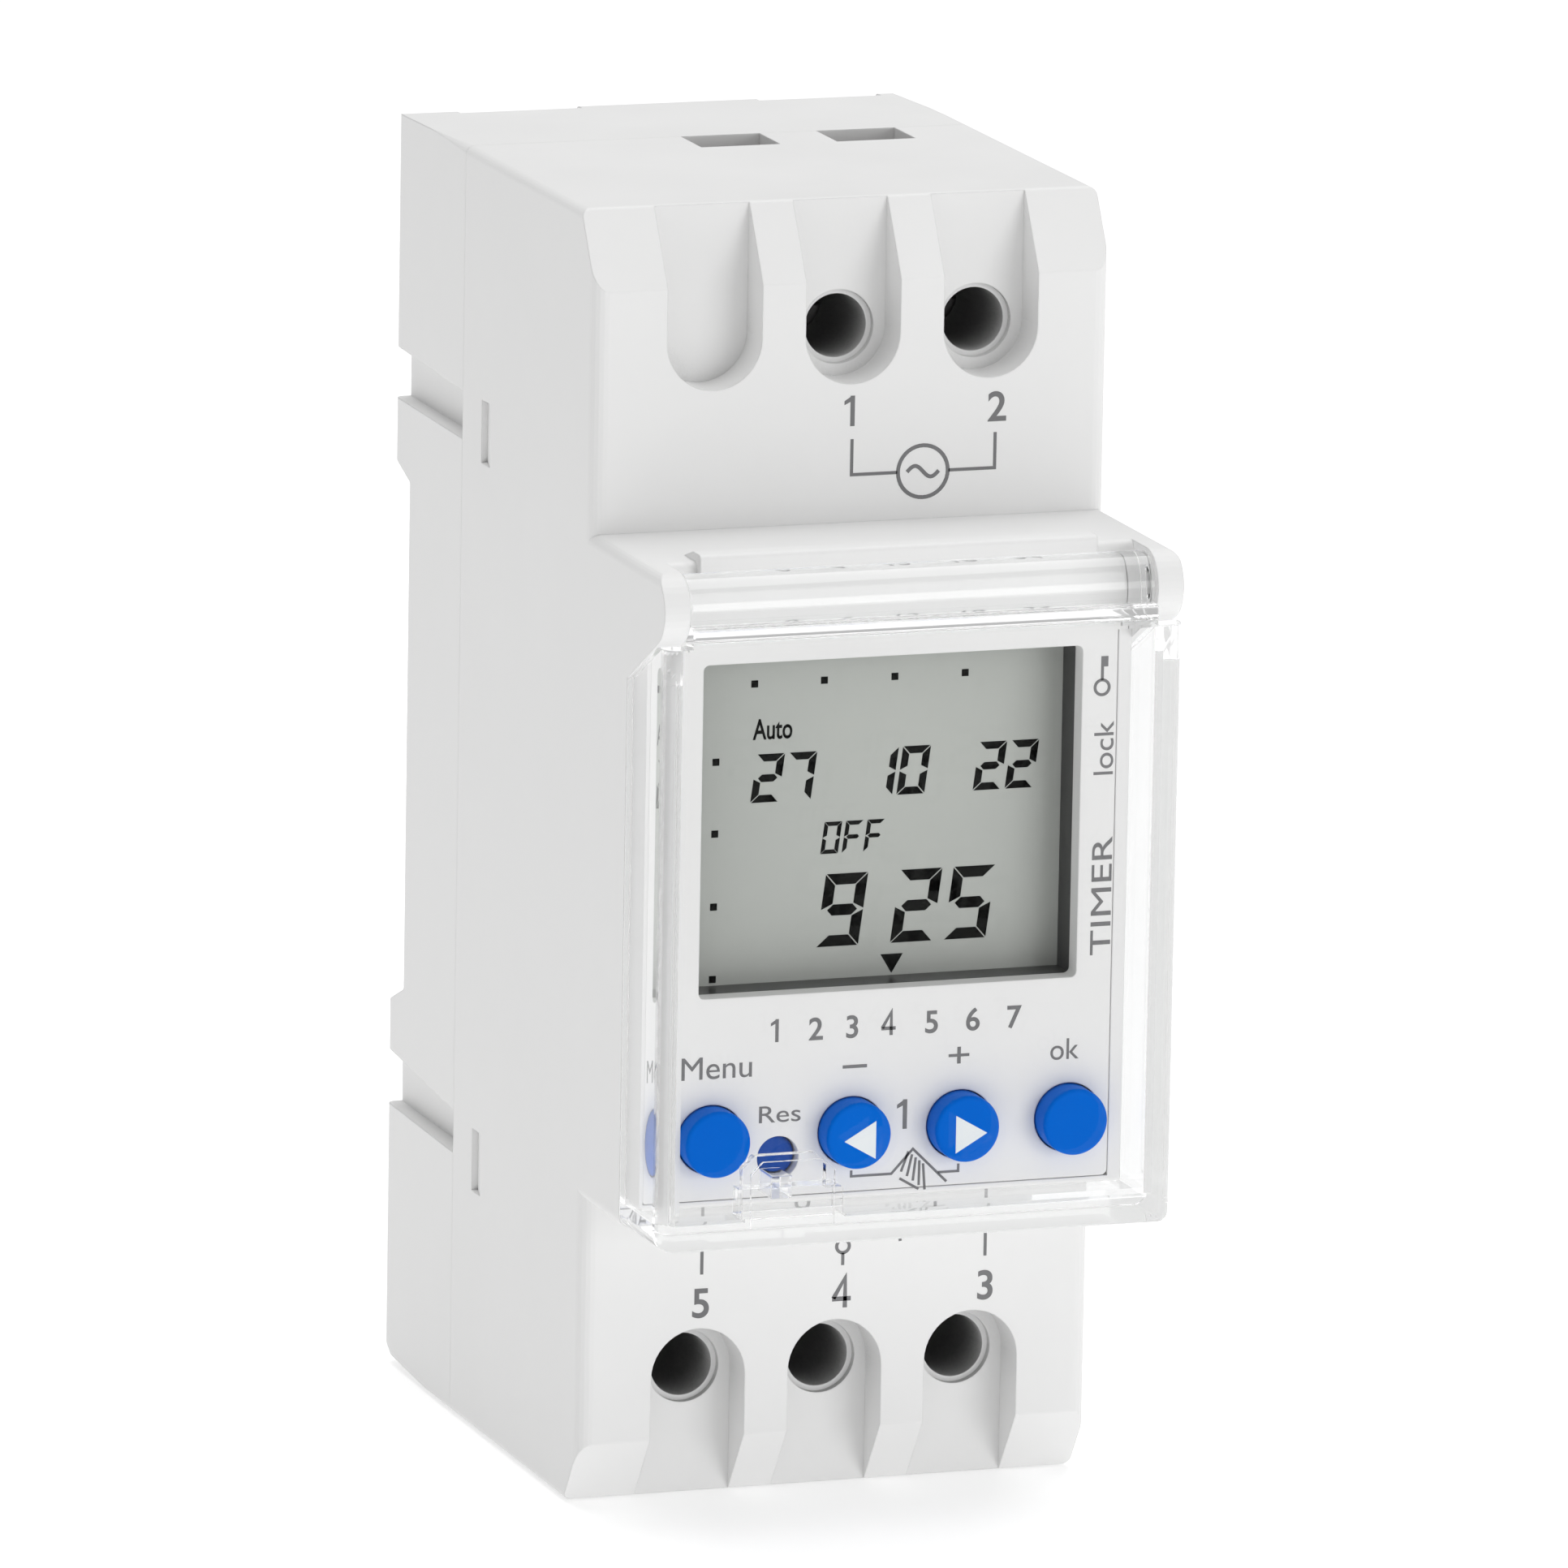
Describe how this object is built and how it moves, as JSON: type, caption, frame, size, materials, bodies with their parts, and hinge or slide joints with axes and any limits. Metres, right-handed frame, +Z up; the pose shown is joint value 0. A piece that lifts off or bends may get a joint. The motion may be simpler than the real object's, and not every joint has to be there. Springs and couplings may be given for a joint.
{
  "type": "din rail digital time switch",
  "caption": "Rail-mounted digital time switch with a hinged clear cover over a display and push buttons, and screw clamp terminals above and below.",
  "frame": {"origin": "middle of the rail seat, on the face that bears on the rail", "axes": "+X right as seen from the front, +Y out of the back towards the rail, +Z up"},
  "size_m": [0.036, 0.0589, 0.0876],
  "materials": {
    "shell_plastic": "fine satin",
    "panel_plastic": "satin",
    "clear_plastic": "polished clear plastic",
    "display_face": "smooth grey-green display",
    "frame_plastic": "semi-gloss black",
    "button_plastic": "semi-gloss blue",
    "silicone": "soft matt",
    "elastomer": "matt",
    "circuit_board": "solder resist",
    "chip_resin": "moulded resin",
    "can_metal": "nickel plated",
    "holder_plastic": "matt black",
    "screw_steel": "zinc plated",
    "clamp_steel": "zinc plated",
    "contact_copper": "tinned at the ends",
    "clip_plastic": "matt",
    "spring_steel": "drawn wire",
    "relay_plastic": "satin",
    "film_plastic": "gloss",
    "sleeve_plastic": "shrunk sleeve",
    "varistor_resin": "dipped resin"
  },
  "bodies": {
    "housing": {"rear_housing": "shell_plastic", "front_housing": "shell_plastic", "face_plate": "panel_plastic", "display_glass": "display_face", "display_frame": "frame_plastic", "contact_strips": "elastomer", "key_mat": "silicone", "control_board": "circuit_board", "controller_chip": "chip_resin", "clock_crystal": "can_metal", "cell_holder": "holder_plastic", "lithium_cell": "can_metal", "board_screws": "screw_steel", "link_board": "circuit_board", "power_board": "circuit_board", "relay": "relay_plastic", "filter_capacitor": "film_plastic", "smoothing_capacitors": "sleeve_plastic", "varistor": "varistor_resin", "power_board_screws": "screw_steel", "contact_bars": "contact_copper", "clip_spring": "spring_steel"},
    "cover": {"clear_cover": "clear_plastic"},
    "button_menu": {"menu_button": "button_plastic"},
    "button_reset": {"reset_button": "button_plastic"},
    "button_minus": {"minus_button": "button_plastic"},
    "button_plus": {"plus_button": "button_plastic"},
    "button_ok": {"ok_button": "button_plastic"},
    "clip": {"rail_clip": "clip_plastic"},
    "terminal_screw_1": {"screw_1": "screw_steel"},
    "terminal_clamp_1": {"clamp_1": "clamp_steel"},
    "terminal_screw_2": {"screw_2": "screw_steel"},
    "terminal_clamp_2": {"clamp_2": "clamp_steel"},
    "terminal_screw_3": {"screw_3": "screw_steel"},
    "terminal_clamp_3": {"clamp_3": "clamp_steel"},
    "terminal_screw_4": {"screw_4": "screw_steel"},
    "terminal_clamp_4": {"clamp_4": "clamp_steel"},
    "terminal_screw_5": {"screw_5": "screw_steel"},
    "terminal_clamp_5": {"clamp_5": "clamp_steel"}
  },
  "joints": [
    {"name": "cover_hinge", "type": "hinge", "parent": "housing", "child": "cover", "pos_m": [0, -0.0522, 0.0193], "axis": [-1, 0, 0], "range_deg": [0, 130]},
    {"name": "menu_press", "type": "slide", "parent": "housing", "child": "button_menu", "axis": [0, 1, 0], "range_m": [0, 0.0006], "stiffness_N_per_m": 1500, "deforming": ["key_mat"]},
    {"name": "reset_press", "type": "slide", "parent": "housing", "child": "button_reset", "axis": [0, 1, 0], "range_m": [0, 0.0006], "stiffness_N_per_m": 1500, "deforming": ["key_mat"]},
    {"name": "minus_press", "type": "slide", "parent": "housing", "child": "button_minus", "axis": [0, 1, 0], "range_m": [0, 0.0006], "stiffness_N_per_m": 1500, "deforming": ["key_mat"]},
    {"name": "plus_press", "type": "slide", "parent": "housing", "child": "button_plus", "axis": [0, 1, 0], "range_m": [0, 0.0006], "stiffness_N_per_m": 1500, "deforming": ["key_mat"]},
    {"name": "ok_press", "type": "slide", "parent": "housing", "child": "button_ok", "axis": [0, 1, 0], "range_m": [0, 0.0006], "stiffness_N_per_m": 1500, "deforming": ["key_mat"]},
    {"name": "rail_clip_slide", "type": "slide", "parent": "housing", "child": "clip", "axis": [0, 0, -1], "range_m": [0, 0.003], "stiffness_N_per_m": 1500, "springref_m": -0.002, "deforming": ["clip_spring"]},
    {"name": "screw_1_turn", "type": "hinge", "parent": "housing", "child": "terminal_screw_1", "pos_m": [0, -0.022, 0.0343], "axis": [0, 1, 0], "range_deg": [0, 2304]},
    {"name": "clamp_1_slide", "type": "slide", "parent": "housing", "child": "terminal_clamp_1", "axis": [0, -1, 0], "range_m": [0, 0.0032]},
    {"name": "screw_2_turn", "type": "hinge", "parent": "housing", "child": "terminal_screw_2", "pos_m": [0.00965, -0.022, 0.0343], "axis": [0, 1, 0], "range_deg": [0, 2304]},
    {"name": "clamp_2_slide", "type": "slide", "parent": "housing", "child": "terminal_clamp_2", "axis": [0, -1, 0], "range_m": [0, 0.0032]},
    {"name": "screw_3_turn", "type": "hinge", "parent": "housing", "child": "terminal_screw_3", "pos_m": [0.00965, -0.022, -0.0359], "axis": [0, 1, 0], "range_deg": [0, 2304]},
    {"name": "clamp_3_slide", "type": "slide", "parent": "housing", "child": "terminal_clamp_3", "axis": [0, -1, 0], "range_m": [0, 0.0032]},
    {"name": "screw_4_turn", "type": "hinge", "parent": "housing", "child": "terminal_screw_4", "pos_m": [0, -0.022, -0.0359], "axis": [0, 1, 0], "range_deg": [0, 2304]},
    {"name": "clamp_4_slide", "type": "slide", "parent": "housing", "child": "terminal_clamp_4", "axis": [0, -1, 0], "range_m": [0, 0.0032]},
    {"name": "screw_5_turn", "type": "hinge", "parent": "housing", "child": "terminal_screw_5", "pos_m": [-0.00965, -0.022, -0.0359], "axis": [0, 1, 0], "range_deg": [0, 2304]},
    {"name": "clamp_5_slide", "type": "slide", "parent": "housing", "child": "terminal_clamp_5", "axis": [0, -1, 0], "range_m": [0, 0.0032]}
  ],
  "couplings": [
    {"joint": "screw_1_turn", "follows": "clamp_1_slide", "rad_per_m": 12566},
    {"joint": "screw_2_turn", "follows": "clamp_2_slide", "rad_per_m": 12566},
    {"joint": "screw_3_turn", "follows": "clamp_3_slide", "rad_per_m": 12566},
    {"joint": "screw_4_turn", "follows": "clamp_4_slide", "rad_per_m": 12566},
    {"joint": "screw_5_turn", "follows": "clamp_5_slide", "rad_per_m": 12566}
  ]
}
